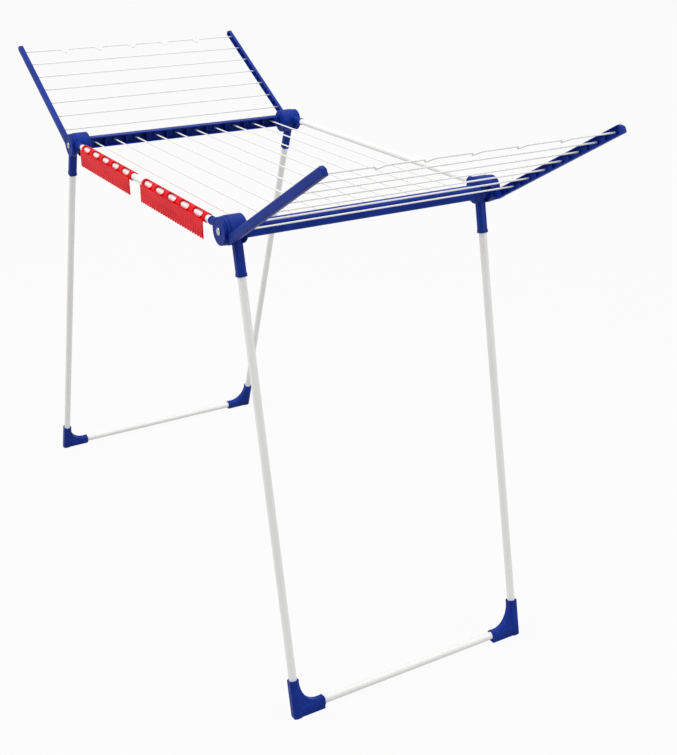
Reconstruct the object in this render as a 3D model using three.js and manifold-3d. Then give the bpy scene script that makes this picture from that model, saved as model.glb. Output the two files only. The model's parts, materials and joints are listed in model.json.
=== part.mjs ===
// Winged clothes drying rack: a fixed middle section on two folding leg frames, with a folding wing
// at each end and two clip-on combs for small items. Millimetres, +Z up, the origin on the floor
// under the middle. X runs along the lines of the middle section.

import * as THREE from "three";
import { mergeVertices } from "three/addons/utils/BufferGeometryUtils.js";
import Module from "manifold-3d";

const wasm = await Module();
wasm.setup();

const deg = Math.PI / 180;

// Overall sizes
const hingeSpan = 840;        // between the two hinge axes
const hingeHeight = 953;      // hinge axes above the floor
const hubFace = 304;          // outer face of a hub disc from the middle plane
const gap = 0.35;             // seating and running clearance
const roundSides = 16;        // facets of tubes and pins
const hubSides = 24;          // facets of the hubs

// Hubs
const hubRadius = 27.5;
const discStep = 2;           // disc radius below the hub's
const discThickness = 6;
const armKnuckle = 7.7;       // the wing's slice of a hub, behind its disc
const hubWall = 6.6;          // hub wall around a leg knuckle
const cheek = 4;              // hub wall next to the end bar
const plugDepth = 15;         // how far a hub plugs into the end bar
const pinRadius = 4;
const pinHeadRadius = 7;
const pinHeadHeight = 2.2;
const pinFloor = 1;           // hub wall left under a pin's inner end

// Side tubes and their stub sockets
const sideTubeRadius = 7;
const sideTubeWall = 1.1;
const sideTubeInset = 14.5;   // tube axis from the hub's face
const sideTubeLift = 4.5;     // above the hinge axes
const stubWall = 1.05;
const stubLength = 30.5;

// End bars and main lines
const barTop = 12;            // heights from the hinge axis
const barBottom = -13;
const barInner = 1;           // inward from the hinge axis
const barOuter = 26;          // outward from the hinge axis
const barSkin = 2.5;
const barBack = 8;            // back wall, which holds the lines
const lineRadius = 1.6;
const lineSides = 8;
const lineSeat = 5.5;         // depth of a line's hole in the back wall
const mainLines = 10;
const lineMargin = 4.2;       // outermost line from a hub's plug

// Wings
const wingTilt = 29.5;
const wingLines = 7;
const wingFirst = 80;         // innermost line from the hinge, along the arm
const wingPitch = 51.2;
const armTipPast = 22;        // arm beyond its outermost line
const wingFoldRest = 8.5;     // the folded wings lie this far above level
const armClear = 2.5;         // folded arms clear of the stub sockets
const armHeight = 18;
const wingLineDrop = 9.5;     // lines below the arm's upper edge
const armWidth = 10;
const armWebThickness = 3;
const armSkin = 2;
const armTipBevel = 7;
const wingLineSeat = 1.9;
const dips = 5;               // hanger notches in the outermost line
const dipPitch = 92;
const dipHalf = 10;
const dipDepth = 15;

// Leg frames
const legTubeRadius = 8;
const legTubeWall = 1.2;
const legInset = 14;          // leg axis of the wider, left frame from the hub's face
const passGap = 1;            // between the narrower frame's feet and the wider frame's legs
const outerSplay = 20;
const innerSplay = 11.5;
const outerFoldRest = 10;     // the folded wider frame lies this far below level
const socketWall = 1.5;
const socketChamfer = 3.5;
const socketStart = 10;
const socketReach = 87;
const legTubeStart = 32;
const outerShellFloor = 1;    // lowest edge of the hub wall over a leg knuckle
const innerShellFloor = 10.5;

// Feet and crossbars
const footWall = 2.5;
const footChamfer = 3;
const footHeight = 80;
const footLength = 72;
const footWeb = 7.8;          // half thickness of the web between the two sleeves
const footFloor = 3.5;        // foot below the crossbar's sleeve
const tubeStop = 6;           // leg tube end clear of the crossbar tube

// Combs for small items
const combLength = 310;
const combSkin = 2.1;
const combSlack = 0.15;       // the clip's play on the tube, beyond the usual gap
const combPastStub = 20;
const combFromRightHinge = 75;
const combMouth = [290, 215]; // the clip's open arc, in degrees from outward
const bladeStand = 1.4;       // back of the blade from the clip
const bladeThickness = 2.4;
const bladeTop = -1.5;
const bladeShelf = 3.5;
const bladeBottom = -38;
const windows = 5;
const windowLength = 38;
const windowHeight = 9;
const windowTilt = 35;
const slots = 18;
const slotWidth = 2;
const slotDepth = 22;

// Derived sizes, for the far right quarter
const discRadius = hubRadius - discStep;
const pocketRadius = hubRadius - hubWall;
const legKnuckleRadius = pocketRadius - 2 * gap - 0.2;
const barrelOuter = hubFace - discThickness - armKnuckle - gap;
const sideTubeY = hubFace - sideTubeInset;
const stubRadius = sideTubeRadius + gap + stubWall;
const stubStart = hubRadius + 2;
const stubEnd = stubStart + stubLength;
const socketHalf = legTubeRadius + socketWall;
const footHalf = legTubeRadius + footWall;
const outerLegY = hubFace - legInset;
const innerLegY = outerLegY - legTubeRadius - footHalf - passGap;
const barrelInner = innerLegY - socketHalf - gap - cheek;
const barHalf = barrelInner - gap;
const mainPitch = (2 * (barrelInner - plugDepth - lineMargin)) / (mainLines - 1);
const armOuter = hubFace - discThickness;
const armInner = armOuter - armWidth;
const armWeb = armOuter - armWebThickness;
const stubTop = sideTubeLift + stubRadius;
const foldedRise = stubStart * Math.sin(wingFoldRest * deg);
const foldedRoom = foldedRise - stubTop - armClear - 2 * gap; // so that the arm folds clear of the stub
const armHigh = foldedRoom / Math.cos(wingFoldRest * deg);
const armLow = armHigh - armHeight;
const wingLineLow = armHigh - wingLineDrop;
const wingTip = wingFirst + wingPitch * (wingLines - 1) + armTipPast;

const crossbarLift = footHalf + footFloor;
const legTubeFloor = crossbarLift + legTubeRadius + tubeStop;

// The wider frame's legs stand outward of the hinge, so that they fold clear of the side tube's stub
const foldedDrop = stubStart * Math.sin(outerFoldRest * deg);
const outerLegShift = stubRadius - sideTubeLift + socketHalf + 2 * gap - foldedDrop;
const legFromArm = (90 - outerSplay + wingTilt) * deg;
const armRoot = (outerLegShift + socketHalf) / Math.sin(legFromArm) + 2; // the arm starts past the leg
const combBore = sideTubeRadius + gap + combSlack;
const combRadius = combBore + combSkin;
const bladeFace = combRadius + bladeStand + bladeThickness;
const ends = {
  left: { sign: -1, legY: outerLegY, shift: outerLegShift, splay: outerSplay, floor: outerShellFloor },
  right: { sign: 1, legY: innerLegY, shift: 0, splay: innerSplay, floor: innerShellFloor },
};
const sides = { near: -1, far: 1 };

const bluePlastic = new THREE.MeshStandardMaterial({ color: 0x1c3f96, roughness: 0.4, metalness: 0 });
const redPlastic = new THREE.MeshStandardMaterial({ color: 0xd8142a, roughness: 0.4, metalness: 0 });
const whiteSteel = new THREE.MeshStandardMaterial({ color: 0xeaeae8, roughness: 0.45, metalness: 0.1 });
const brightSteel = new THREE.MeshStandardMaterial({ color: 0xc4c6ca, roughness: 0.3, metalness: 1 });

// Closed solids from geometries, and back
function solid(geometry) {
  const bare = geometry.clone();
  bare.deleteAttribute("normal");
  bare.deleteAttribute("uv");
  const merged = mergeVertices(bare, 1e-4);
  const mesh = new wasm.Mesh({
    numProp: 3,
    vertProperties: merged.getAttribute("position").array,
    triVerts: Uint32Array.from(merged.getIndex().array),
  });
  return new wasm.Manifold(mesh);
}

function joined(...geometries) {
  return geometries.map(solid).reduce((whole, next) => whole.add(next));
}

function cut(body, ...geometries) {
  return geometries.map(solid).reduce((whole, next) => whole.subtract(next), body);
}

function geometryOf(body) {
  const mesh = body.getMesh();
  const geometry = new THREE.BufferGeometry();
  geometry.setAttribute("position", new THREE.BufferAttribute(mesh.vertProperties, 3));
  geometry.setIndex(new THREE.BufferAttribute(mesh.triVerts, 1));
  return geometry;
}

// A body of the far right quarter, carried to another quarter by reflection
function inQuarter(body, signX, signY) {
  const geometry = geometryOf(body).scale(signX, signY, 1);
  if (signX * signY > 0) return geometry;
  const index = geometry.getIndex();
  for (let corner = 0; corner < index.count; corner += 3) {
    const second = index.getX(corner + 1);
    index.setX(corner + 1, index.getX(corner + 2));
    index.setX(corner + 2, second);
  }
  return geometry;
}

// Basic shapes: round bars and prisms along each axis, and blocks between two corners
function barY(radius, from, to, count = roundSides) {
  return new THREE.CylinderGeometry(radius, radius, to - from, count).translate(0, (from + to) / 2, 0);
}

function barX(radius, from, to, count = roundSides) {
  return barY(radius, -to, -from, count).rotateZ(90 * deg);
}

function barZ(radius, from, to, count = roundSides) {
  return barY(radius, from, to, count).rotateX(90 * deg);
}

function block(low, high) {
  const size = high.map((value, axis) => value - low[axis]);
  const middle = high.map((value, axis) => (value + low[axis]) / 2);
  return new THREE.BoxGeometry(...size).translate(...middle);
}

function extruded(shape, from, to) {
  const options = { depth: to - from, bevelEnabled: false, curveSegments: 6 };
  return new THREE.ExtrudeGeometry(shape, options).translate(0, 0, from);
}

function alongX(shape, from, to) {
  const axes = [new THREE.Vector3(0, 1, 0), new THREE.Vector3(0, 0, 1), new THREE.Vector3(1, 0, 0)];
  return extruded(shape, from, to).applyMatrix4(new THREE.Matrix4().makeBasis(...axes));
}

function alongY(shape, from, to) {
  return extruded(shape, -to, -from).rotateX(90 * deg);
}

function outline(points) {
  return new THREE.Shape(points.map(([across, up]) => new THREE.Vector2(across, up)));
}

function ringPoints(radius, count) {
  return Array.from({ length: count }, (_, step) => {
    const angle = (step / count) * 2 * Math.PI;
    return new THREE.Vector2(radius * Math.cos(angle), radius * Math.sin(angle));
  });
}

function tubeShape(radius, wall) {
  const shape = new THREE.Shape(ringPoints(radius, roundSides));
  shape.holes.push(new THREE.Path(ringPoints(radius - wall, roundSides)));
  return shape;
}

function chamferedSquare(centreX, centreY, half, chamfer) {
  const short = half - chamfer;
  const corners = [[half, short], [short, half], [-short, half], [-half, short]];
  const opposite = corners.map(([across, up]) => [-across, -up]);
  return outline([...corners, ...opposite].map(([across, up]) => [centreX + across, centreY + up]));
}

function arc(radius, fromDeg, toDeg, steps) {
  return Array.from({ length: steps + 1 }, (_, step) => {
    const angle = (fromDeg + ((toDeg - fromDeg) * step) / steps) * deg;
    return [radius * Math.cos(angle), radius * Math.sin(angle)];
  });
}

function addPart(group, name, geometry, material) {
  const mesh = new THREE.Mesh(geometry, material);
  mesh.name = name;
  group.add(mesh);
  return mesh;
}

const pinBore = () => barY(pinRadius + gap, barrelInner + pinFloor, hubFace + 1);

// Hub: a barrel between end bar and wing, open below for the leg, with the side tube's stub socket
function hubBody(end) {
  const pocketFrom = end.legY - socketHalf - gap;
  const pocketTo = end.legY + socketHalf + gap;
  const openOutside = pocketTo > barrelOuter;
  const rootFrom = openOutside ? pocketFrom - cheek : pocketTo;
  const rootLow = openOutside ? end.floor : sideTubeLift - stubRadius;
  const whole = joined(
    barY(hubRadius, barrelInner, barrelOuter, hubSides),
    block([-barInner + 1, barrelInner - plugDepth, barBottom + barSkin + gap],
      [barOuter - barBack - gap, barrelInner + 1, barTop - barSkin - gap]),
    barX(stubRadius, -stubEnd, -stubStart).translate(0, sideTubeY, sideTubeLift),
    block([-stubStart - 1, rootFrom, rootLow],
      [-pocketRadius - 1, barrelOuter, sideTubeLift + stubRadius]),
  );
  return cut(whole,
    barY(pocketRadius, pocketFrom, pocketTo, hubSides),
    block([-hubRadius - 0.5, pocketFrom, -hubRadius - 1], [hubRadius + 1, pocketTo, end.floor]),
    barX(sideTubeRadius + gap, -stubEnd - 1, -stubStart - cheek).translate(0, sideTubeY, sideTubeLift),
    pinBore(),
  );
}

// Rivet pin through wing, leg and hub, with a domed head on the disc
function pinBody() {
  const seat = hubFace + gap;
  const dome = arc(1, 0, 80, 3).map(([across, up]) => [across * pinHeadRadius, seat + up * pinHeadHeight]);
  const start = barrelInner + pinFloor + gap;
  const profile = [[0, start], [pinRadius, start], [pinRadius, seat], ...dome, [0, seat + pinHeadHeight]];
  const points = profile.map(([radius, along]) => new THREE.Vector2(radius, along));
  return solid(new THREE.LatheGeometry(points, roundSides));
}

// End bar: a channel open to the middle, with a thick back wall drilled for the lines
function endBarBody() {
  const channel = outline([
    [-barInner, barBottom], [barOuter, barBottom], [barOuter, barTop], [-barInner, barTop],
    [-barInner, barTop - barSkin], [barOuter - barBack, barTop - barSkin],
    [barOuter - barBack, barBottom + barSkin], [-barInner, barBottom + barSkin],
  ]);
  const mouth = barOuter - barBack;
  const holes = mainLineYs().map((y) => (
    barX(lineRadius + gap, mouth - 1, mouth + lineSeat, lineSides).translate(0, y, 0)
  ));
  return cut(joined(alongY(channel, -barHalf, barHalf)), ...holes);
}

function mainLineYs() {
  return Array.from({ length: mainLines }, (_, row) => (row - (mainLines - 1) / 2) * mainPitch);
}

function wingLineAlong(row) {
  return wingFirst + row * wingPitch;
}

// Wing arm: a channel open to the lines, hung from a hub disc
function armBody() {
  const body = outline([
    [armRoot, armLow], [wingTip, armLow], [wingTip, armHigh - armTipBevel], [wingTip - armTipBevel, armHigh],
    [armRoot, armHigh],
  ]);
  const root = outline([
    [0, -discRadius], [armRoot - 5, -discRadius + 5], [armRoot - 2, armLow + 5], [armRoot, armLow],
    [wingFirst / 2, armLow],
    [wingFirst / 2, armHigh], [hubRadius + 3, armHigh], [discRadius - 5, 5], [0, 5],
  ]);
  const whole = joined(
    alongY(body, armInner, armOuter),
    alongY(root, barrelOuter + gap, armOuter),
    barY(discRadius + 0.5, barrelOuter + gap, armOuter, hubSides),
    barY(discRadius, armOuter - 1, hubFace, hubSides),
  );
  const channelFrom = wingFirst / 2 + armSkin;
  const holes = Array.from({ length: wingLines }, (_, row) => (
    barY(lineRadius + gap, armWeb - 1, armWeb + wingLineSeat, lineSides)
      .translate(wingLineAlong(row), 0, wingLineLow)
  ));
  return cut(whole,
    block([channelFrom, armInner - 1, armLow + armSkin], [wingTip - armTipBevel, armWeb, armHigh - armSkin]),
    barY(hubRadius + 0.8, armInner - 1, barrelOuter + gap, hubSides),
    pinBore(),
    ...holes,
  );
}

// A path through corner points, whose sections sit exactly on the corners
class CornerPath extends THREE.Curve {
  constructor(corners) {
    super();
    this.corners = corners;
  }

  getPoint(t, target = new THREE.Vector3()) {
    const place = t * (this.corners.length - 1);
    const first = Math.min(Math.floor(place), this.corners.length - 2);
    return target.lerpVectors(this.corners[first], this.corners[first + 1], place - first);
  }

  getPointAt(t, target) {
    return this.getPoint(t, target);
  }

  getTangentAt(t, target = new THREE.Vector3()) {
    const corner = Math.round(t * (this.corners.length - 1));
    const before = this.corners[Math.max(corner - 1, 0)];
    const here = this.corners[corner];
    const after = this.corners[Math.min(corner + 1, this.corners.length - 1)];
    const into = here.clone().sub(before).normalize();
    const out = after.clone().sub(here).normalize();
    return target.copy(into.add(out)).normalize();
  }
}

function wingLineGeometry(row) {
  const reach = armWeb + wingLineSeat - gap;
  const along = wingLineAlong(row);
  if (row < wingLines - 1) return barY(lineRadius, -reach, reach, lineSides).translate(along, 0, wingLineLow);
  const corners = [[along, -reach]];
  for (let dip = 0; dip < dips; dip += 1) {
    const middle = (dip - (dips - 1) / 2) * dipPitch;
    corners.push([along, middle - dipHalf], [along - dipDepth, middle], [along, middle + dipHalf]);
  }
  corners.push([along, reach]);
  const path = new CornerPath(corners.map(([x, y]) => new THREE.Vector3(x, y, wingLineLow)));
  const section = new THREE.Shape(ringPoints(lineRadius, lineSides));
  return new THREE.ExtrudeGeometry(section, { steps: corners.length - 1, extrudePath: path });
}

// Leg socket: a knuckle on the hinge pin and a sleeve for the leg tube, which points down here
function socketBody(end) {
  const from = end.legY - socketHalf;
  const to = end.legY + socketHalf;
  const section = chamferedSquare(end.shift, end.legY, socketHalf, socketChamfer);
  const whole = joined(
    barY(legKnuckleRadius, from, Math.min(to, barrelOuter), hubSides),
    extruded(section, -socketReach, -socketStart),
  );
  return cut(whole,
    barY(hubRadius + 1, barrelOuter, hubFace, hubSides),
    barZ(legTubeRadius + gap, -socketReach - 1, -legTubeStart + gap).translate(end.shift, end.legY, 0),
    pinBore(),
  );
}

function floorAlong(end) {
  return (hingeHeight + end.shift * Math.sin(end.splay * deg)) / Math.cos(end.splay * deg);
}

// Corner foot: two sleeves and a web with a hollow inner edge, cut level with the floor
function footBody(end) {
  const floor = -floorAlong(end);
  const below = floor - footHalf;
  const top = floor + footHeight;
  const axis = floor + crossbarLift;
  const outer = end.legY + footHalf;
  const inner = outer - footLength;
  const web = new THREE.Shape();
  web.moveTo(outer - 1, below);
  web.lineTo(inner, below);
  web.lineTo(inner, axis + footHalf - 1);
  web.absellipse(inner, top, end.legY - footHalf + 1 - inner, top - axis - footHalf + 1, -90 * deg, 0, false);
  web.lineTo(outer - 1, top);
  const whole = joined(
    extruded(chamferedSquare(end.shift, end.legY, footHalf, footChamfer), below, top),
    alongY(chamferedSquare(end.shift, axis, footHalf, footChamfer), inner, outer),
    block([end.shift - footHalf, inner, below], [end.shift + footHalf, outer, axis]),
    alongX(web, end.shift - footWeb, end.shift + footWeb),
  );
  const ground = block([-60, inner - 1, -60], [60, outer + 1, 0]).rotateY(end.splay * deg);
  return cut(whole,
    ground.translate(end.shift, 0, floor),
    barZ(legTubeRadius + gap, floor + legTubeFloor - gap, top + 1).translate(end.shift, end.legY, 0),
    barY(legTubeRadius + gap, inner - 1, end.legY - legTubeRadius + gap).translate(end.shift, 0, axis),
  );
}

// Comb: a clip over the side tube with windows, a shelf and a slotted blade hanging outside it
function combBody() {
  const [mouthFrom, mouthTo] = [combMouth[0] - 360, combMouth[1]];
  const outside = arc(combRadius, mouthFrom, mouthTo, 12);
  const clip = outline([...outside, ...arc(combBore, mouthTo, mouthFrom, 12)]);
  const back = bladeFace - bladeThickness;
  const blade = outline([
    [combBore + 0.8, bladeTop], [bladeFace, bladeTop], [bladeFace, bladeBottom], [back, bladeBottom],
    [back, bladeTop - bladeShelf], [combBore + 0.4, bladeTop - bladeShelf],
  ]);
  const pitch = combLength / windows;
  const half = (windowLength - windowHeight) / 2;
  const stadium = new THREE.Shape();
  stadium.absarc(half, 0, windowHeight / 2, -90 * deg, 90 * deg, false);
  stadium.absarc(-half, 0, windowHeight / 2, 90 * deg, 270 * deg, false);
  const openings = Array.from({ length: windows }, (_, place) => (
    extruded(stadium, combBore / 2, combRadius * 2)
      .rotateX((windowTilt - 90) * deg)
      .translate((place + 0.5) * pitch, 0, 0)
  ));
  const slotPitch = combLength / slots;
  const slits = Array.from({ length: slots }, (_, place) => {
    const middle = (place + 0.5) * slotPitch;
    return block([middle - slotWidth / 2, back - 1, bladeBottom - 1],
      [middle + slotWidth / 2, bladeFace + 1, bladeBottom + slotDepth]);
  });
  return cut(joined(alongX(clip, 0, combLength), alongX(blade, 0, combLength)), ...openings, ...slits);
}

// Assembly
const rack = new THREE.Group();
const frame = new THREE.Group();
frame.position.z = hingeHeight;
rack.add(frame);

for (const [side, signY] of Object.entries(sides)) {
  const reach = hingeSpan / 2 - stubStart - cheek - gap;
  const tube = alongX(tubeShape(sideTubeRadius, sideTubeWall), -reach, reach);
  addPart(frame, `side_tube_${side}`, tube.translate(0, signY * sideTubeY, sideTubeLift), whiteSteel);
}

const lineReach = hingeSpan / 2 + barOuter - barBack + lineSeat - gap;
mainLineYs().forEach((y, row) => {
  const line = barX(lineRadius, -lineReach, lineReach, lineSides).translate(0, y, 0);
  addPart(frame, `main_line_${String(row + 1).padStart(2, "0")}`, line, whiteSteel);
});

const combPlaces = [stubEnd + combPastStub - hingeSpan / 2, hingeSpan / 2 - combFromRightHinge - combLength];
combPlaces.forEach((start, place) => {
  const comb = inQuarter(combBody(), 1, sides.near).translate(start, -sideTubeY, sideTubeLift);
  addPart(frame, `comb_${place + 1}`, comb, redPlastic);
});

for (const [endName, end] of Object.entries(ends)) {
  const hinge = new THREE.Group();
  hinge.position.x = (end.sign * hingeSpan) / 2;
  frame.add(hinge);
  const wing = new THREE.Group();
  wing.rotation.y = -end.sign * wingTilt * deg;
  const legs = new THREE.Group();
  legs.rotation.y = -end.sign * end.splay * deg;
  hinge.add(wing, legs);

  addPart(hinge, `end_bar_${endName}`, inQuarter(endBarBody(), end.sign, 1), bluePlastic);
  for (let row = 0; row < wingLines; row += 1) {
    const line = inQuarter(solid(wingLineGeometry(row)), end.sign, 1);
    addPart(wing, `wing_line_${endName}_${row + 1}`, line, whiteSteel);
  }

  const floor = -floorAlong(end);
  const crossbarReach = end.legY - legTubeRadius;
  const crossbar = alongY(tubeShape(legTubeRadius, legTubeWall), -crossbarReach, crossbarReach);
  crossbar.translate(end.sign * end.shift, 0, floor + crossbarLift);
  addPart(legs, `crossbar_${endName}`, crossbar, whiteSteel);

  for (const [side, signY] of Object.entries(sides)) {
    const place = `${endName}_${side}`;
    addPart(hinge, `hub_${place}`, inQuarter(hubBody(end), end.sign, signY), bluePlastic);
    addPart(hinge, `hinge_pin_${place}`, inQuarter(pinBody(), end.sign, signY), brightSteel);
    addPart(wing, `wing_arm_${place}`, inQuarter(armBody(), end.sign, signY), bluePlastic);
    addPart(legs, `leg_socket_${place}`, inQuarter(socketBody(end), end.sign, signY), bluePlastic);
    addPart(legs, `foot_${place}`, inQuarter(footBody(end), end.sign, signY), bluePlastic);
    const tube = extruded(tubeShape(legTubeRadius, legTubeWall), floor + legTubeFloor, -legTubeStart);
    addPart(legs, `leg_tube_${place}`, tube.translate(end.sign * end.shift, signY * end.legY, 0), whiteSteel);
  }
}

export default rack;
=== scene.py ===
import json
from math import atan2, cos, pi, radians, sin

import bmesh
import bpy
from mathutils import Matrix, Vector


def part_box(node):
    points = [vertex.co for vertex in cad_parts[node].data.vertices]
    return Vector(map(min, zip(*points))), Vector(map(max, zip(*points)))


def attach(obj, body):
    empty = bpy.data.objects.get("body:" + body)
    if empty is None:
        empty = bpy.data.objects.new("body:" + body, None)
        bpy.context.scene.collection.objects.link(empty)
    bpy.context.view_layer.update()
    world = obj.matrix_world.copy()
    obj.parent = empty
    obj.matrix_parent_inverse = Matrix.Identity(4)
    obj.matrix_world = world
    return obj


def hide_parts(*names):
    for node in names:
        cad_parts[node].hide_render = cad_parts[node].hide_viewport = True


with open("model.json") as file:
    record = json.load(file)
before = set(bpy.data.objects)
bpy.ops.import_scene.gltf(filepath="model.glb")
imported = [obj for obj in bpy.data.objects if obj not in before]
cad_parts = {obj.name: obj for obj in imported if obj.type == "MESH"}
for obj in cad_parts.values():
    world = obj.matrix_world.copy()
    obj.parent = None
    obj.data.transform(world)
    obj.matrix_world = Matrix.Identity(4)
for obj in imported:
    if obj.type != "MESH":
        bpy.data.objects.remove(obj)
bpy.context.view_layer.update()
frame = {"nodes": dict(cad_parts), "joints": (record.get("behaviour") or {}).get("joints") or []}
print("frame loaded:", len(frame["nodes"]), "nodes")

# ---------- shared places: metres, X outward of a hinge, Y away from the middle plane, Z up ----------
rack = {
    "splay": {"left": radians(20), "right": radians(11.5)},
    "gap": 0.00035, "disc": 0.006, "knuckle": 0.0077,
}
signs = {"left": -1, "right": 1, "near": -1, "far": 1}
ends = ("left", "right")
sides = ("near", "far")
hinges = {joint["name"]: Vector(joint["pos_m"]) for joint in frame["joints"] if joint["type"] == "hinge"}


def middle(node):
    low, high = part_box(node)
    return (low + high) / 2


def wingTilt(end):
    step = middle(f"wing_line_{end}_6") - middle(f"wing_line_{end}_1")
    return atan2(step.z, abs(step.x))


def quarter(end, side="far", turn=0.0):
    # from a hinge's own quarter to the rack: turned outward and up, then mirrored to its end and side
    mirror = Matrix.Diagonal((signs[end], signs[side], 1, 1))
    return Matrix.Translation(hinges[f"{end}_wing_fold"]) @ mirror @ Matrix.Rotation(-turn, 4, "Y")


def localBox(node, end, side="far", turn=0.0):
    back = quarter(end, side, turn).inverted()
    points = [back @ vertex.co for vertex in frame["nodes"][node].data.vertices]
    return [Vector(pick(point[axis] for point in points) for axis in range(3)) for pick in (min, max)]


def barrelEnd(end, side):
    # outer end of a hub's barrel, behind the wing's slice of the hub and its disc
    return localBox(f"wing_arm_{end}_{side}", end, side)[1].y - rack["disc"] - rack["knuckle"] - rack["gap"]


# ---------- basic solids ----------
def soften(bm, width, segments=2, sharper=28):
    edges = [edge for edge in bm.edges
             if len(edge.link_faces) == 2 and edge.calc_face_angle() > radians(sharper)]
    bmesh.ops.bevel(bm, geom=edges, offset=width, offset_type="OFFSET", affect="EDGES", segments=segments,
                    profile=0.5, material=-1, clamp_overlap=True)
    return bm


def block(low, high, edge=0.0):
    low, high = Vector(low), Vector(high)
    bm = bmesh.new()
    bmesh.ops.create_cube(bm, size=1)
    bmesh.ops.scale(bm, vec=high - low, verts=bm.verts)
    bmesh.ops.translate(bm, vec=(low + high) / 2, verts=bm.verts)
    return soften(bm, edge) if edge else bm


def prism(points, low, high, axis="Y", edge=0.0, segments=2, corner=0.0):
    # an outline, its corners rounded if asked, extruded along an axis
    spread = {
        "X": lambda a, b: (low, a, b),
        "Y": lambda a, b: (a, low, b),
        "Z": lambda a, b: (a, b, low),
    }[axis]
    along = {"X": (high - low, 0, 0), "Y": (0, high - low, 0), "Z": (0, 0, high - low)}[axis]
    bm = bmesh.new()
    face = bm.faces.new([bm.verts.new(spread(*point)) for point in points])
    if corner:
        bmesh.ops.bevel(bm, geom=bm.verts[:], offset=corner, offset_type="OFFSET", affect="VERTICES",
                        segments=5, profile=0.5, material=-1, clamp_overlap=True)
        bm.faces.ensure_lookup_table()
        face = bm.faces[0]
    grown = bmesh.ops.extrude_face_region(bm, geom=[face], use_keep_orig=True)["geom"]
    bmesh.ops.translate(bm, vec=along, verts=[g for g in grown if isinstance(g, bmesh.types.BMVert)])
    bmesh.ops.recalc_face_normals(bm, faces=bm.faces)
    return soften(bm, edge, segments, 50 if corner else 28) if edge else bm


def rod(radius, low, high, axis="Y", segments=32, edge=0.0):
    bm = bmesh.new()
    bmesh.ops.create_cone(bm, cap_ends=True, segments=segments, radius1=radius,
                          radius2=radius, depth=high - low)
    bmesh.ops.translate(bm, vec=(0, 0, (low + high) / 2), verts=bm.verts)
    turns = {
        "X": Matrix.Rotation(pi / 2, 3, "Y"),
        "Y": Matrix.Rotation(-pi / 2, 3, "X"),
        "Z": Matrix.Identity(3),
    }
    bmesh.ops.rotate(bm, matrix=turns[axis], verts=bm.verts)
    return soften(bm, edge, 3, 50) if edge else bm


def turned(profile, segments=64):
    # a closed profile of (radius, along) points, spun round the Y axis
    bm = bmesh.new()
    chain = [bm.verts.new((radius, along, 0)) for radius, along in profile]
    edges = [bm.edges.new(pair) for pair in zip(chain, chain[1:])]
    bmesh.ops.spin(bm, geom=chain + edges, cent=(0, 0, 0), axis=(0, 1, 0), angle=2 * pi, steps=segments,
                   use_merge=True)
    bmesh.ops.remove_doubles(bm, verts=bm.verts, dist=1e-6)
    bmesh.ops.recalc_face_normals(bm, faces=bm.faces)
    return bm


def sheared(bm, point, normal):
    # everything beyond the plane is taken off and the cut closed
    bm.faces.ensure_lookup_table()
    shape = bm.verts[:] + bm.edges[:] + bm.faces[:]
    rest = bmesh.ops.bisect_plane(bm, geom=shape, plane_co=point, plane_no=normal, clear_outer=True)
    rim = [item for item in rest["geom_cut"] if isinstance(item, bmesh.types.BMEdge)]
    bmesh.ops.holes_fill(bm, edges=rim)
    return bm


def moved(bm, *offset):
    bmesh.ops.translate(bm, vec=offset, verts=bm.verts)
    return bm


def chamfered(centreX, centreY, half, chamfer):
    short = half - chamfer
    corners = [(half, -short), (half, short), (short, half), (-short, half)]
    corners += [(-across, -up) for across, up in corners]
    return [(centreX + across, centreY + up) for across, up in corners]


def curved(radius, start, end, steps, centre=(0, 0)):
    angles = [radians(start + (end - start) * step / steps) for step in range(steps + 1)]
    return [(centre[0] + radius * cos(angle), centre[1] + radius * sin(angle)) for angle in angles]


def objectOf(bm, name):
    mesh = bpy.data.meshes.new(name)
    bmesh.ops.recalc_face_normals(bm, faces=bm.faces)
    bm.to_mesh(mesh)
    bm.free()
    made = bpy.data.objects.new(name, mesh)
    bpy.context.scene.collection.objects.link(made)
    return made


def settled(made):
    # the object's mesh with its modifiers carried out
    bpy.context.view_layer.update()
    return bpy.data.meshes.new_from_object(made.evaluated_get(bpy.context.evaluated_depsgraph_get()))


def combined(operation, base, *tools):
    shapes = [objectOf(shape, "shape") for shape in (base, *tools)]
    for tool in shapes[1:]:
        step = shapes[0].modifiers.new("step", "BOOLEAN")
        step.operation = operation
        step.solver = "MANIFOLD"
        step.object = tool
    mesh = settled(shapes[0])
    for shape in shapes:
        bpy.data.meshes.remove(shape.data)
    result = bmesh.new()
    result.from_mesh(mesh)
    bpy.data.meshes.remove(mesh)
    return result


def joined(*shapes):
    return combined("UNION", *shapes)


def cut(base, *tools):
    return combined("DIFFERENCE", base, *tools)


def together(shapes):
    # separate solids kept in one bmesh, for cutters that don't touch each other
    whole = bmesh.new()
    for shape in shapes:
        mesh = bpy.data.meshes.new("loose")
        shape.to_mesh(mesh)
        shape.free()
        whole.from_mesh(mesh)
        bpy.data.meshes.remove(mesh)
    return whole


def finishPiece(bm, node, body, slot, place=None, sharp=32):
    bmesh.ops.transform(bm, matrix=place or Matrix.Identity(4), verts=bm.verts)
    piece = objectOf(bm, node + "_finished")
    piece.data.shade_smooth()
    piece.data.set_sharp_from_angle(angle=radians(sharp))
    flatter = piece.modifiers.new("evenNormals", "WEIGHTED_NORMAL")
    flatter.keep_sharp = True
    mesh = settled(piece)
    piece.modifiers.clear()
    old = piece.data
    piece.data = mesh
    bpy.data.meshes.remove(old)
    mesh.name = piece.name
    mesh.materials.clear()
    mesh.materials.append(finishes[slot])
    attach(piece, body)
    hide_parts(node)
    return piece


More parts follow.
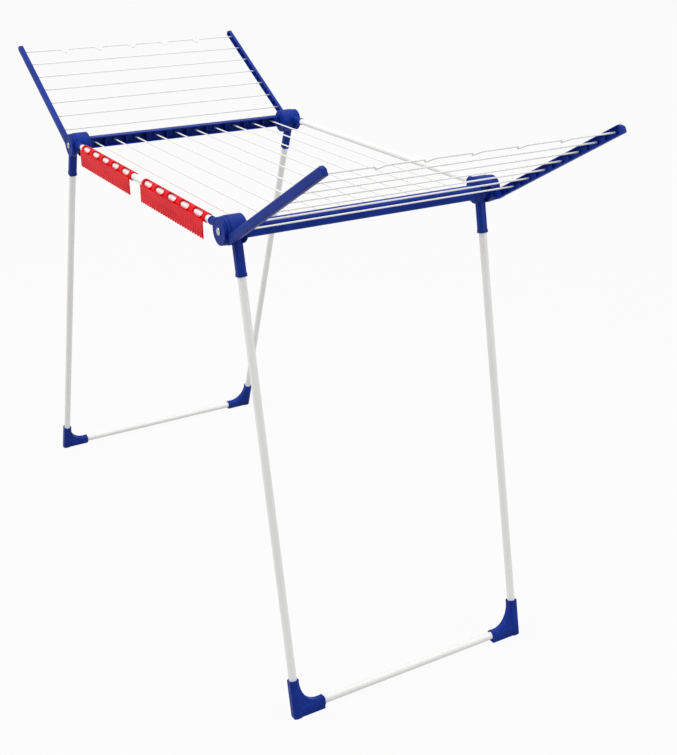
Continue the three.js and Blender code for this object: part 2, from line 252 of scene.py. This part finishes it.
# ---------- shader nodes ----------
class Value:
    # a number socket with Python's arithmetic
    def __init__(self, finish, socket):
        self.finish = finish
        self.socket = socket

    def maths(self, operation, first, second):
        return self.finish.node("ShaderNodeMath", {"operation": operation}, {0: first, 1: second})

    def __add__(self, other):
        return self.maths("ADD", self, other)

    def __sub__(self, other):
        return self.maths("SUBTRACT", self, other)

    def __mul__(self, other):
        return self.maths("MULTIPLY", self, other)

    __radd__ = __add__
    __rmul__ = __mul__


class Finish:
    def __init__(self, name):
        self.material = bpy.data.materials.new(name)
        self.material.use_nodes = True
        self.tree = self.material.node_tree
        self.tree.nodes.clear()
        self.coords = self.node("ShaderNodeTexCoord", output="Object")

    def node(self, kind, settings=None, values=None, output=0):
        made = self.tree.nodes.new(kind)
        for name, setting in (settings or {}).items():
            if name == "stops":
                for stop, (place, colour) in zip(made.color_ramp.elements, setting):
                    stop.position = place
                    stop.color = colour
            else:
                setattr(made, name, setting)
        for name, value in (values or {}).items():
            socket = made.inputs[name]
            if isinstance(value, Value):
                self.tree.links.new(value.socket, socket)
            else:
                socket.default_value = value
        return Value(self, made.outputs[output]) if made.outputs else made

    def noise(self, scale, detail=2.0, stretch=(1, 1, 1)):
        spot = self.node("ShaderNodeMapping", {}, {"Vector": self.coords, "Scale": stretch})
        return self.node("ShaderNodeTexNoise", {}, {"Vector": spot, "Scale": scale, "Detail": detail})

    def between(self, value, low, high):
        # 0 below low, 1 above high, smooth in between
        settings = {"interpolation_type": "SMOOTHSTEP"}
        return self.node("ShaderNodeMapRange", settings, {"Value": value, "From Min": low, "From Max": high})

    def mix(self, factor, first, second):
        first, second = ((*colour, 1) if isinstance(colour, tuple) else colour for colour in (first, second))
        return self.node("ShaderNodeMix", {"data_type": "RGBA"}, {0: factor, 6: first, 7: second}, 2)

    def bump(self, height, distance, strength, under=None):
        values = {"Height": height, "Distance": distance, "Strength": strength}
        if under:
            values["Normal"] = under
        return self.node("ShaderNodeBump", {}, values)

    def surface(self, values):
        shader = self.node("ShaderNodeBsdfPrincipled", {}, values)
        self.node("ShaderNodeOutputMaterial", {}, {"Surface": shader})
        return self.material


def mouldedPlastic(name, look):
    # satin moulded polypropylene: faint flow marks, a spark-eroded grain and rubbed, lighter scuffs
    finish = Finish(name)
    flow = finish.noise(look["flowScale"], 3, look["flowStretch"])
    grain = finish.noise(look["grainScale"], 2)
    dust = finish.noise(look["dustScale"], 6)
    scuff = finish.between(finish.noise(look["scuffScale"], 8, (1, 0.25, 1)), 0.62, 0.74)
    colour = finish.mix(finish.between(flow, 0.3, 0.7), look["colour"], look["deeper"])
    colour = finish.mix(scuff * look["scuffAmount"], colour, look["rubbed"])
    colour = finish.mix(finish.between(dust, 0.52, 0.75) * look["dustAmount"], colour, look["dusty"])
    roughness = look["roughness"] + (flow - 0.5) * 0.10 + (dust - 0.5) * 0.14 + scuff * 0.16
    normal = finish.bump(grain, 0.0002, 0.28)
    normal = finish.bump(finish.noise(look["sinkScale"], 1), 0.0012, 0.16, normal)
    return finish.surface({"Base Color": colour, "Roughness": roughness, "Normal": normal, "IOR": 1.49,
                           "Specular IOR Level": look["specular"]})


def powderCoat(name, look):
    # powder coat on steel: orange peel, faint toning and a few specks and handling marks
    finish = Finish(name)
    tone = finish.noise(look["toneScale"], 3)
    peel = finish.noise(look["peelScale"], 1.5)
    marks = finish.between(finish.noise(look["markScale"], 7), 0.66, 0.78)
    colour = finish.mix(finish.between(tone, 0.3, 0.7), look["colour"], look["warmer"])
    colour = finish.mix(marks * look["markAmount"], colour, look["grey"])
    roughness = look["roughness"] + (tone - 0.5) * 0.12 + marks * 0.15
    normal = finish.bump(peel, 0.0004, 0.22)
    return finish.surface({"Base Color": colour, "Roughness": roughness, "Normal": normal, "IOR": 1.5})


def brightZinc(name, look):
    # bright zinc-plated steel: faint crystal toning and fine wear
    finish = Finish(name)
    tone = finish.noise(look["toneScale"], 4)
    wear = finish.noise(look["wearScale"], 6, (1, 0.2, 1))
    colour = finish.mix(finish.between(tone, 0.35, 0.65), look["colour"], look["cooler"])
    roughness = look["roughness"] + (wear - 0.5) * 0.3
    normal = finish.bump(wear, 0.0001, 0.2)
    return finish.surface({"Base Color": colour, "Roughness": roughness, "Normal": normal, "Metallic": 1.0})


bluePlastic = {
    "colour": (0.004, 0.030, 0.285), "deeper": (0.003, 0.021, 0.220), "rubbed": (0.030, 0.075, 0.38),
    "dusty": (0.018, 0.048, 0.31), "flowScale": 22.0, "flowStretch": (0.35, 1, 1), "grainScale": 2600.0,
    "dustScale": 95.0, "scuffScale": 130.0, "scuffAmount": 0.30, "dustAmount": 0.10, "sinkScale": 55.0,
    "roughness": 0.40, "specular": 0.13,
}
redPlastic = {
    "colour": (0.82, 0.003, 0.011), "deeper": (0.68, 0.002, 0.008), "rubbed": (0.86, 0.05, 0.05),
    "dusty": (0.82, 0.035, 0.035), "flowScale": 26.0, "flowStretch": (0.3, 1, 1), "grainScale": 2600.0,
    "dustScale": 110.0, "scuffScale": 150.0, "scuffAmount": 0.22, "dustAmount": 0.08, "sinkScale": 60.0,
    "roughness": 0.40, "specular": 0.13,
}
whitePowder = {
    "colour": (0.89, 0.89, 0.88), "warmer": (0.86, 0.855, 0.84), "grey": (0.55, 0.55, 0.54),
    "toneScale": 9.0, "peelScale": 900.0, "markScale": 160.0, "markAmount": 0.16, "roughness": 0.40,
}
rivetZinc = {
    "colour": (0.78, 0.79, 0.81), "cooler": (0.62, 0.65, 0.70), "toneScale": 420.0, "wearScale": 900.0,
    "roughness": 0.27,
}
finishes = {
    "blue_plastic": mouldedPlastic("blue_plastic_look", bluePlastic),
    "red_plastic": mouldedPlastic("red_plastic_look", redPlastic),
    "white_steel": powderCoat("white_steel_look", whitePowder),
    "bright_steel": brightZinc("bright_steel_look", rivetZinc),
}
print("finishes ready:", len(finishes))

# ---------- tubes and lines ----------
tubes = {"segments": 40, "lineSegments": 16, "lineEdge": 0.0004, "wall": 0.0012}


def tubeAlong(node, body, axis, end=None, turn=0.0, side="far"):
    # an open steel tube that fills its node's box, in the rack's or a hinge's own quarter
    low, high = localBox(node, end, side, turn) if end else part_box(node)
    index = "XYZ".index(axis)
    across = (index + 1) % 3
    radius = (high[across] - low[across]) / 2
    centre = (low + high) / 2
    centre[index] = 0
    outer = rod(radius, low[index], high[index], axis, tubes["segments"])
    inner = rod(radius - tubes["wall"], low[index] - 0.01, high[index] + 0.01, axis, tubes["segments"])
    tube = moved(cut(outer, inner), *centre)
    return finishPiece(tube, node, body, "white_steel", quarter(end, side, turn) if end else None)


def straightLine(node, body, axis):
    low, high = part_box(node)
    index = "XYZ".index(axis)
    radius = (high[2] - low[2]) / 2
    centre = (low + high) / 2
    centre[index] = 0
    line = rod(radius, low[index], high[index], axis, tubes["lineSegments"], tubes["lineEdge"])
    return finishPiece(moved(line, *centre), node, body, "white_steel")


notched = {"dips": 5, "pitch": 0.092, "half": 0.010, "depth": 0.015, "bend": 0.0035, "radius": 0.0016}


def notchedLine(node, body, end):
    # the outermost line, bent toward the hinge into hanger notches; a bevelled curve made a mesh
    turn = wingTilt(end)
    low, high = localBox(node, end, "far", turn)
    along, level, reach = high.x - notched["radius"], (low.z + high.z) / 2, high.y
    corners = [(along, -reach)]
    for dip in range(notched["dips"]):
        centre = (dip - (notched["dips"] - 1) / 2) * notched["pitch"]
        corners += [(along, centre - notched["half"]), (along - notched["depth"], centre)]
        corners += [(along, centre + notched["half"])]
    corners = [Vector((x, y, level)) for x, y in corners + [(along, reach)]]
    path = bpy.data.curves.new("notchedPath", "CURVE")
    path.dimensions = "3D"
    path.bevel_depth = notched["radius"]
    path.bevel_resolution = 6
    path.resolution_u = 6
    path.use_fill_caps = True
    spline = path.splines.new("BEZIER")
    spline.bezier_points.add(2 * len(corners) - 3)
    knots = [corners[0]]
    pulls = [corners[0]]
    for before, corner, after in zip(corners, corners[1:], corners[2:]):
        for other in (before, after):
            knots.append(corner + (other - corner).normalized() * notched["bend"])
            pulls.append(corner)
    knots.append(corners[-1])
    pulls.append(corners[-1])
    for index, (point, knot, pull) in enumerate(zip(spline.bezier_points, knots, pulls)):
        point.handle_left_type = point.handle_right_type = "FREE"
        point.co = knot
        bend = knot.lerp(pull, 0.6)
        straight = knot.lerp(knots[index + (-1 if index % 2 else 1)], 0.3)
        point.handle_left, point.handle_right = (straight, bend) if index % 2 else (bend, straight)
    holder = bpy.data.objects.new("notchedHolder", path)
    bpy.context.scene.collection.objects.link(holder)
    mesh = settled(holder)
    bm = bmesh.new()
    bm.from_mesh(mesh)
    bpy.data.objects.remove(holder)
    bpy.data.meshes.remove(mesh)
    bmesh.ops.remove_doubles(bm, verts=bm.verts, dist=1e-5)
    return finishPiece(bm, node, body, "white_steel", quarter(end, "far", turn))


mainLines = sorted(node for node in frame["nodes"] if node.startswith("main_line"))
for side in sides:
    tubeAlong(f"side_tube_{side}", "frame", "X")
for node in mainLines:
    straightLine(node, "frame", "X")
for end in ends:
    for row in range(1, 7):
        straightLine(f"wing_line_{end}_{row}", f"{end}_wing", "Y")
    notchedLine(f"wing_line_{end}_7", f"{end}_wing", end)
    tubeAlong(f"crossbar_{end}", f"{end}_legs", "Y", end, rack["splay"][end])
    for side in sides:
        tubeAlong(f"leg_tube_{end}_{side}", f"{end}_legs", "Z", end, rack["splay"][end], side)
print("tubes and lines ready")

# ---------- end bars ----------
endBar = {"skin": 0.0025, "back": 0.008, "edge": 0.0012, "chamfer": 0.0035, "rib": 0.0016, "ribInset": 0.004,
          "boss": 0.0048, "bossReach": 0.0035}


def makeEndBar(end):
    # a channel open to the middle, ribbed between the lines, with a boss round each line's end
    low, high = localBox(f"end_bar_{end}", end)
    mouth = high.x - endBar["back"]
    corner = endBar["chamfer"]
    outline = [(low.x, low.z), (high.x - corner, low.z), (high.x, low.z + corner),
               (high.x, high.z - corner), (high.x - corner, high.z), (low.x, high.z)]
    bar = prism(outline, low.y, high.y, "Y", endBar["edge"])
    channel = block((low.x - 0.01, low.y - 0.01, low.z + endBar["skin"]),
                    (mouth, high.y + 0.01, high.z - endBar["skin"]))
    rows = [middle(node).y * signs["far"] for node in mainLines]
    spacing = rows[1] - rows[0]
    ribs = [block((low.x + endBar["ribInset"], row + (spacing - endBar["rib"]) / 2, low.z + 0.001),
                  (mouth + 0.001, row + (spacing + endBar["rib"]) / 2, high.z - 0.001)) for row in rows[:-1]]
    bossFrom = mouth - endBar["bossReach"]
    bosses = [moved(rod(endBar["boss"], bossFrom, mouth + 0.001, "X", 24, 0.0005), 0, row, 0) for row in rows]
    whole = joined(cut(bar, channel), together(ribs), together(bosses))
    return finishPiece(whole, f"end_bar_{end}", "frame", "blue_plastic", quarter(end))


for end in ends:
    makeEndBar(end)
print("end bars ready")

# ---------- hubs, with their stub sockets ----------
hub = {"radius": 0.0275, "wall": 0.0066, "cheek": 0.004, "openBelow": {"left": 0.001, "right": 0.0105},
       "plug": 0.015, "stubStart": 0.0295, "stubEnd": 0.060, "stubRadius": 0.0084, "neck": 0.013,
       "lip": 0.0009, "lipLength": 0.0045, "pinBore": 0.00435}


def makeHub(end, side):
    gap = rack["gap"]
    legLow, legHigh = localBox(f"leg_socket_{end}_{side}", end, side, rack["splay"][end])
    tubeLow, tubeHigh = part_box(f"side_tube_{side}")
    tubeY = abs(tubeLow.y + tubeHigh.y) / 2
    tubeZ = (tubeLow.z + tubeHigh.z) / 2 - hinges[f"{end}_wing_fold"].z
    barLow, barHigh = localBox(f"end_bar_{end}", end)
    start, outer = barHigh.y + gap, barrelEnd(end, side)
    pocketFrom, pocketTo = legLow.y - gap, legHigh.y + gap
    openOutside = pocketTo > outer
    pocket = hub["radius"] - hub["wall"]
    rootFrom, rootLow = ((pocketFrom - hub["cheek"], hub["openBelow"][end]) if openOutside
                         else (pocketTo, tubeZ - hub["stubRadius"] + 0.0002))
    radius = hub["radius"]
    barrel = turned([(0, start), (radius - 0.0022, start), (radius - 0.0012, start + 0.0004),
                     (radius - 0.0003, start + 0.0014), (radius, start + 0.0026),
                     (radius, outer - 0.0008), (radius - 0.0008, outer), (0, outer)], 96)
    skin = endBar["skin"] + gap
    plug = block((barLow.x + 0.001, start - hub["plug"], barLow.z + skin),
                 (barHigh.x - endBar["back"] - gap, start + 0.001, barHigh.z - skin), 0.001)
    stubRadius, stubStart, stubEnd = hub["stubRadius"], -hub["stubStart"], -hub["stubEnd"]
    stub = moved(rod(stubRadius - hub["lip"], stubEnd + 0.001, stubStart + 0.002, "X", 48), 0, tubeY, tubeZ)
    lip = moved(rod(stubRadius, stubEnd, stubEnd + hub["lipLength"], "X", 48, 0.0008), 0, tubeY, tubeZ)
    neck = moved(rod(stubRadius, stubStart - hub["neck"], stubStart + 0.002, "X", 48), 0, tubeY, tubeZ)
    root = block((stubStart - 0.001, rootFrom, rootLow),
                 (-pocket - 0.001, outer - 0.0006, tubeZ + stubRadius), 0.0012)
    whole = joined(barrel, plug, stub, lip, neck, root)
    tubeRadius = (tubeHigh.z - tubeLow.z) / 2
    whole = cut(
        whole,
        rod(pocket, pocketFrom, pocketTo, "Y", 96),
        block((-radius - 0.0005, pocketFrom + 1e-5, -radius - 0.001),
              (radius + 0.001, pocketTo - 1e-5, hub["openBelow"][end])),
        moved(rod(tubeRadius + gap, stubEnd - 0.001, stubStart - hub["cheek"], "X", 48), 0, tubeY, tubeZ),
        rod(hub["pinBore"], start + 0.001, outer + 0.001, "Y", 32),
    )
    return finishPiece(whole, f"hub_{end}_{side}", "frame", "blue_plastic", quarter(end, side))


pin = {"radius": 0.004, "head": 0.007, "edge": 0.0004, "domeSteps": 8}


def makePin(end, side):
    low, high = localBox(f"hinge_pin_{end}_{side}", end, side)
    discFace = localBox(f"wing_arm_{end}_{side}", end, side)[1].y
    seat = discFace + rack["gap"]
    height = high.y - seat - pin["edge"]
    dome = [(pin["head"] * across, seat + pin["edge"] + height * up)
            for across, up in curved(1, 0, 90, pin["domeSteps"])]
    radius = pin["radius"]
    profile = [(0, low.y), (radius - 0.0005, low.y), (radius, low.y + 0.0005), (radius, seat),
               (pin["head"] - 0.0002, seat), *dome[:-1], (0, high.y)]
    shape = turned(profile, 48)
    return finishPiece(shape, f"hinge_pin_{end}_{side}", "frame", "bright_steel", quarter(end, side))


for end in ends:
    for side in sides:
        makeHub(end, side)
        makePin(end, side)
print("hubs and pins ready")

# ---------- wing arms ----------
arm = {"lineDrop": 0.0095, "height": 0.018, "width": 0.010, "web": 0.003, "skin": 0.002, "tipBevel": 0.007,
       "root": 0.0208, "rootReach": 0.040, "channelFrom": 0.042, "edge": 0.0008, "ridge": 0.003,
       "rib": 0.0013, "ribInset": 0.0012, "firstRib": 0.024,
       "boss": 0.0036, "bossReach": 0.0022, "rim": 0.0024, "recess": 0.0009,
       "padRadius": 0.0105, "padRise": 0.0006}


def makeArm(end, side):
    # a channel open to the lines, hung from a rimmed disc
    turn = wingTilt(end)
    high = localBox(f"wing_arm_{end}_{side}", end, side, turn)[1]
    lines = [localBox(f"wing_line_{end}_{row}", end, "far", turn) for row in range(1, 8)]
    alongs = [box[1].x - notched["radius"] for box in lines]
    level = (lines[0][0].z + lines[0][1].z) / 2
    face, discRadius, tip = high.y, high.z, high.x
    outer = face - rack["disc"]
    inner, web = outer - arm["width"], outer - arm["web"]
    top = level + arm["lineDrop"]
    bottom = top - arm["height"]
    hubEnd = barrelEnd(end, side) + rack["gap"]
    ridge = arm["ridge"]
    section = [(inner, bottom), (outer - 0.002, bottom), (outer, bottom + 0.002), (outer, top - ridge),
               (outer - ridge, top), (inner, top)]
    beam = prism(section, arm["root"], tip, "X")
    sheared(beam, (tip, 0, top - arm["tipBevel"]), (1, 0, 1))
    soften(beam, arm["edge"], 2)
    rootEnd = arm["root"]
    root = prism([(0, -discRadius), (rootEnd - 0.006, -discRadius + 0.004), (rootEnd - 0.002, bottom + 0.004),
                  (rootEnd, bottom), (arm["rootReach"], bottom), (arm["rootReach"], top), (0, top)],
                 hubEnd, outer - 0.0002, "Y", 0.0008)
    knuckle = turned([(0, hubEnd), (discRadius, hubEnd), (discRadius + 0.0005, hubEnd + 0.0006),
                      (discRadius + 0.0005, outer - 0.0016), (discRadius - 0.0012, outer - 0.0008),
                      (discRadius - 0.0012, outer + 0.0008), (discRadius, outer + 0.0016),
                      (discRadius, face - 0.0012), (discRadius - 0.0004, face - 0.0003),
                      (discRadius - 0.0012, face), (discRadius - arm["rim"], face),
                      (discRadius - arm["rim"] - 0.0007, face - arm["recess"]),
                      (arm["padRadius"] + 0.0007, face - arm["recess"]),
                      (arm["padRadius"], face - arm["recess"] + arm["padRise"]),
                      (0, face - arm["recess"] + arm["padRise"])], 96)
    whole = joined(beam, root, knuckle)
    channel = block((arm["channelFrom"], inner - 0.01, bottom + arm["skin"]),
                    (tip - arm["tipBevel"], web, top - arm["skin"]))
    hubRoom = rod(hub["radius"] + 0.0008, inner - 0.001, hubEnd, "Y", 96)
    bore = rod(hub["pinBore"], hubEnd - 0.001, face + 0.001, "Y", 32)
    whole = cut(whole, channel, hubRoom, bore)
    half = arm["rib"] / 2
    middles = [(here + there) / 2 for here, there in zip(alongs, alongs[1:])] + [alongs[0] - arm["firstRib"]]
    ribFrom = inner + arm["ribInset"]
    ribs = [block((spot - half, ribFrom, bottom + 0.001), (spot + half, web + 0.001, top - 0.001))
            for spot in middles]
    bosses = [moved(rod(arm["boss"], web - arm["bossReach"], web + 0.001, "Y", 24, 0.0005), spot, 0, level)
              for spot in alongs]
    whole = joined(whole, together(ribs), together(bosses))
    place = quarter(end, side, turn)
    return finishPiece(whole, f"wing_arm_{end}_{side}", f"{end}_wing", "blue_plastic", place)


for end in ends:
    for side in sides:
        makeArm(end, side)
print("wing arms ready")

# ---------- leg sockets and feet ----------
socket = {"knuckle": 0.020, "start": 0.010, "chamfer": 0.0035, "edge": 0.0009, "tubeStart": 0.032,
          "lip": 0.0006, "lipLength": 0.007}


def makeSocket(end, side):
    gap = rack["gap"]
    turn = rack["splay"][end]
    low, high = localBox(f"leg_socket_{end}_{side}", end, side, turn)
    tubeLow, tubeHigh = localBox(f"leg_tube_{end}_{side}", end, side, turn)
    centre = (tubeLow + tubeHigh) / 2
    half = (high.y - low.y) / 2
    tubeRadius = (tubeHigh.y - tubeLow.y) / 2
    hubOuter = barrelEnd(end, side)
    knuckle = rod(socket["knuckle"], low.y, min(high.y, hubOuter), "Y", 96, 0.0008)
    lipTop = low.z + socket["lipLength"]
    sleeve = prism(chamfered(centre.x, centre.y, half - socket["lip"], socket["chamfer"]), low.z + 0.002,
                   -socket["start"], "Z", socket["edge"], 2)
    lip = prism(chamfered(centre.x, centre.y, half, socket["chamfer"]), low.z, lipTop, "Z", socket["edge"], 2)
    whole = joined(knuckle, sleeve, lip)
    whole = cut(whole,
                rod(hub["radius"] + 0.001, hubOuter, high.y + 0.01, "Y", 96),
                moved(rod(tubeRadius + gap, low.z - 0.001, gap - socket["tubeStart"], "Z", 48),
                      centre.x, centre.y, 0),
                rod(hub["pinBore"], low.y - 0.001, high.y + 0.001, "Y", 32))
    place = quarter(end, side, turn)
    return finishPiece(whole, f"leg_socket_{end}_{side}", f"{end}_legs", "blue_plastic", place)


foot = {"chamfer": 0.0042, "web": 0.0078, "edge": 0.0014, "webEdge": 0.0018,
        "lip": 0.0008, "lipLength": 0.0045,
        "ear": 0.0060, "earLength": 0.0115, "hollowSteps": 20}


def makeFoot(end, side):
    # two sleeves in one smooth corner with a hollow inner edge, trimmed level with the floor
    gap = rack["gap"]
    turn = rack["splay"][end]
    node = f"foot_{end}_{side}"
    low, high = localBox(node, end, side, turn)
    tubeLow, tubeHigh = localBox(f"leg_tube_{end}_{side}", end, side, turn)
    barLow, barHigh = localBox(f"crossbar_{end}", end, side, turn)
    across, legY = (tubeLow.x + tubeHigh.x) / 2, (tubeLow.y + tubeHigh.y) / 2
    axis = (barLow.z + barHigh.z) / 2
    radius = (tubeHigh.y - tubeLow.y) / 2
    outer, top = high.y, high.z
    half = outer - legY
    inner, below = low.y, low.z - 0.002
    thin = half - foot["lip"]
    upright = prism(chamfered(across, legY, thin, foot["chamfer"]), below, top - 0.001, "Z", foot["edge"], 3)
    upLip = prism(chamfered(across, legY, half, foot["chamfer"]), top - foot["lipLength"], top, "Z",
                  foot["edge"], 3)
    level = prism(chamfered(across, axis, thin, foot["chamfer"]), inner + 0.001, outer - 0.0105, "Y",
                  foot["edge"], 3)
    levelLip = prism(chamfered(across, axis, half, foot["chamfer"]), inner, inner + foot["lipLength"], "Y",
                     foot["edge"], 3)
    ear = [(inner + 0.0004 + foot["ear"] + along, axis + thin - foot["ear"] + up)
           for along, up in curved(foot["ear"], 180, 90, 6)]
    start = Vector((inner + foot["earLength"], axis + thin - 0.0002))
    finish = Vector((legY - thin, top - 0.0055))
    hollow = [(start.x + (finish.x - start.x) * sin(angle), finish.y - (finish.y - start.y) * cos(angle))
              for angle in (pi / 2 * step / foot["hollowSteps"] for step in range(foot["hollowSteps"] + 1))]
    web = prism([(outer - 0.0003, below), (inner + 0.0004, below), *ear, *hollow, (legY - thin, top - 0.0006),
                 (outer - 0.0003, top - 0.0006)],
                across - foot["web"], across + foot["web"], "X", foot["webEdge"], 3)
    whole = joined(web, upright, upLip, level, levelLip)
    tubeFloor = tubeLow.z - gap
    whole = cut(whole,
                moved(rod(radius + gap, tubeFloor, top + 0.001, "Z", 48), across, legY, 0),
                moved(rod(radius + gap, inner - 0.001, barHigh.y + gap, "Y", 48), across, 0, axis))
    bmesh.ops.transform(whole, matrix=quarter(end, side, turn), verts=whole.verts)
    ground = block((-2, -2, -0.1), (2, 2, 0))
    return finishPiece(cut(whole, ground), node, f"{end}_legs", "blue_plastic")


for end in ends:
    for side in sides:
        makeSocket(end, side)
        makeFoot(end, side)
print("leg sockets and feet ready")

# ---------- combs ----------
comb = {"bore": 0.0075, "radius": 0.0096, "mouth": (-70, 215), "thickness": 0.0024,
        "top": -0.0015, "shelf": 0.0035, "windows": 5, "windowLength": 0.042, "windowHeight": 0.0134,
        "windowTilt": 40, "rim": 0.0015, "rimRise": 0.0008,
        "teeth": 26, "slotWidth": 0.0012, "slotDepth": 0.022,
        "toothDrop": 0.0048, "notchShare": 0.42, "bead": 0.0011}


def stadium(length, height, low, high, edge=0.0):
    reach = (length - height) / 2
    outline = curved(height / 2, -90, 90, 12, (reach, 0)) + curved(height / 2, 90, 270, 12, (-reach, 0))
    return prism(outline, low, high, "Z", edge)


def makeComb(node):
    low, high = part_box(node)
    tubeLow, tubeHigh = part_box("side_tube_near")
    centre = (tubeLow + tubeHigh) / 2
    length = high.x - low.x
    faceY = -(low.y - centre.y)
    bottom = low.z - centre.z
    back = faceY - comb["thickness"]
    start, stop = comb["mouth"]
    clipOutline = curved(comb["radius"], start, stop, 44) + curved(comb["bore"], stop, start, 44)
    clip = prism(clipOutline, 0, length, "X", 0.0004)
    top, shelf = comb["top"], comb["top"] - comb["shelf"]
    blade = prism([(comb["bore"] + 0.0009, top), (faceY, top), (faceY, bottom), (back, bottom),
                   (back, shelf), (comb["bore"] + 0.0005, shelf)], 0.0002, length - 0.0002, "X", 0.0005)
    bead = moved(rod(comb["bead"], 0.0006, length - 0.0006, "X", 16, 0.0003),
                 0, faceY - 0.0008, top - 0.0002)
    tilt = Matrix.Rotation(radians(comb["windowTilt"] - 90), 3, "X")
    pitch = length / comb["windows"]
    rims, openings = [], []
    for place in range(comb["windows"]):
        spot = ((place + 0.5) * pitch, 0, 0)
        rim = stadium(comb["windowLength"] + 2 * comb["rim"], comb["windowHeight"] + 2 * comb["rim"],
                      comb["bore"] * 0.86, comb["radius"] + comb["rimRise"], 0.0003)
        opening = stadium(comb["windowLength"], comb["windowHeight"], comb["bore"] / 2, comb["radius"] * 2)
        for shape, group in ((rim, rims), (opening, openings)):
            bmesh.ops.rotate(shape, matrix=tilt, verts=shape.verts)
            group.append(moved(shape, *spot))
    whole = joined(clip, blade, bead, together(rims))
    toothPitch = length / comb["teeth"]
    spots = [(place + 0.5) * toothPitch for place in range(comb["teeth"])]
    slots = [block((spot - comb["slotWidth"] / 2, back - 0.001, bottom - 0.001),
                   (spot + comb["slotWidth"] / 2, faceY + 0.001, bottom + comb["slotDepth"]))
             for spot in spots]
    notch = toothPitch * comb["notchShare"]
    notchLow = bottom - 0.0002
    points = [prism([(spot - notch, notchLow), (spot + notch, notchLow), (spot, bottom + comb["toothDrop"])],
                    back - 0.0012, faceY + 0.0012, "Y")
              for spot in spots]
    tube = rod(comb["bore"], -0.001, length + 0.001, "X", 88)
    whole = cut(whole, tube, together(openings), together(slots), together(points))
    place = Matrix.Translation((low.x, centre.y, centre.z)) @ Matrix.Diagonal((1, -1, 1, 1))
    return finishPiece(whole, node, node, "red_plastic", place)


for node in ("comb_1", "comb_2"):
    makeComb(node)
print("combs ready")

# ---------- floor, light and camera ----------
studio = {"floorSize": 60.0, "floorColour": 0.50, "floorGlow": 0.94, "mirrorGlow": 0.3, "worldLight": 0.60,
          "key": {"place": (-0.9, -3.4, 4.2), "size": 4.5, "power": 122, "aim": (0, 0, 0.8)},
          "top": {"place": (-0.2, 0.6, 5.0), "size": 5.0, "power": 80, "aim": (0, 0, 0.8)},
          "fill": {"place": (3.2, 3.0, 2.4), "size": 3.5, "power": 48, "aim": (0, 0, 0.7)}}


def makeFloor():
    bm = bmesh.new()
    bmesh.ops.create_grid(bm, x_segments=1, y_segments=1, size=studio["floorSize"] / 2)
    floor = objectOf(bm, "floor")
    finish = Finish("floor_look")
    seen = finish.node("ShaderNodeLightPath", output="Is Camera Ray")
    mirrored = finish.node("ShaderNodeLightPath", output="Is Glossy Ray")
    colour = (studio["floorColour"],) * 3 + (1,)
    plain = finish.node("ShaderNodeBsdfDiffuse", {}, {"Color": colour})
    glow = finish.node("ShaderNodeEmission", {}, {"Color": (1, 1, 1, 1), "Strength": 1.0})
    factor = seen * studio["floorGlow"] + mirrored * studio["mirrorGlow"]
    whole = finish.node("ShaderNodeMixShader", {}, {0: factor, 1: plain, 2: glow})
    finish.node("ShaderNodeOutputMaterial", {}, {"Surface": whole})
    floor.data.materials.append(finish.material)


def makeWorld():
    world = bpy.data.worlds.new("studio")
    bpy.context.scene.world = world
    world.use_nodes = True
    tree = world.node_tree
    tree.nodes.clear()
    path = tree.nodes.new("ShaderNodeLightPath")
    either = tree.nodes.new("ShaderNodeMath")
    either.operation = "MAXIMUM"
    tree.links.new(path.outputs["Is Camera Ray"], either.inputs[0])
    tree.links.new(path.outputs["Is Transmission Ray"], either.inputs[1])
    dim = tree.nodes.new("ShaderNodeBackground")
    dim.inputs["Color"].default_value = (1, 1, 1, 1)
    dim.inputs["Strength"].default_value = studio["worldLight"]
    white = tree.nodes.new("ShaderNodeBackground")
    white.inputs["Color"].default_value = (1, 1, 1, 1)
    white.inputs["Strength"].default_value = 1.0
    mix = tree.nodes.new("ShaderNodeMixShader")
    tree.links.new(either.outputs[0], mix.inputs[0])
    tree.links.new(dim.outputs[0], mix.inputs[1])
    tree.links.new(white.outputs[0], mix.inputs[2])
    out = tree.nodes.new("ShaderNodeOutputWorld")
    tree.links.new(mix.outputs[0], out.inputs["Surface"])


def makeLamp(name):
    look = studio[name]
    lamp = bpy.data.lights.new(name, "AREA")
    lamp.shape = "DISK"
    lamp.size = look["size"]
    lamp.energy = look["power"]
    holder = bpy.data.objects.new(name, lamp)
    holder.location = look["place"]
    aim = Vector(look["aim"]) - Vector(look["place"])
    holder.rotation_euler = aim.to_track_quat("-Z", "Y").to_euler()
    bpy.context.scene.collection.objects.link(holder)


view = {"place": (2.2455, -1.1156, 1.5324), "yaw": -59.937, "pitch": 23.508, "roll": 0.363, "lens": 54.99}


def makeCamera():
    lens = bpy.data.cameras.new("camera")
    lens.lens = view["lens"]
    lens.sensor_width = 36
    lens.clip_end = 200
    holder = bpy.data.objects.new("camera", lens)
    yaw = Matrix.Rotation(radians(-view["yaw"]), 4, "Z")
    pitch = Matrix.Rotation(radians(90 - view["pitch"]), 4, "X")
    roll = Matrix.Rotation(radians(-view["roll"]), 4, "Z")
    holder.matrix_world = Matrix.Translation(view["place"]) @ yaw @ pitch @ roll
    bpy.context.scene.collection.objects.link(holder)
    bpy.context.scene.camera = holder


makeFloor()
makeWorld()
for name in ("key", "top", "fill"):
    makeLamp(name)
makeCamera()
bpy.context.scene.view_settings.view_transform = "Standard"
print("stage ready")
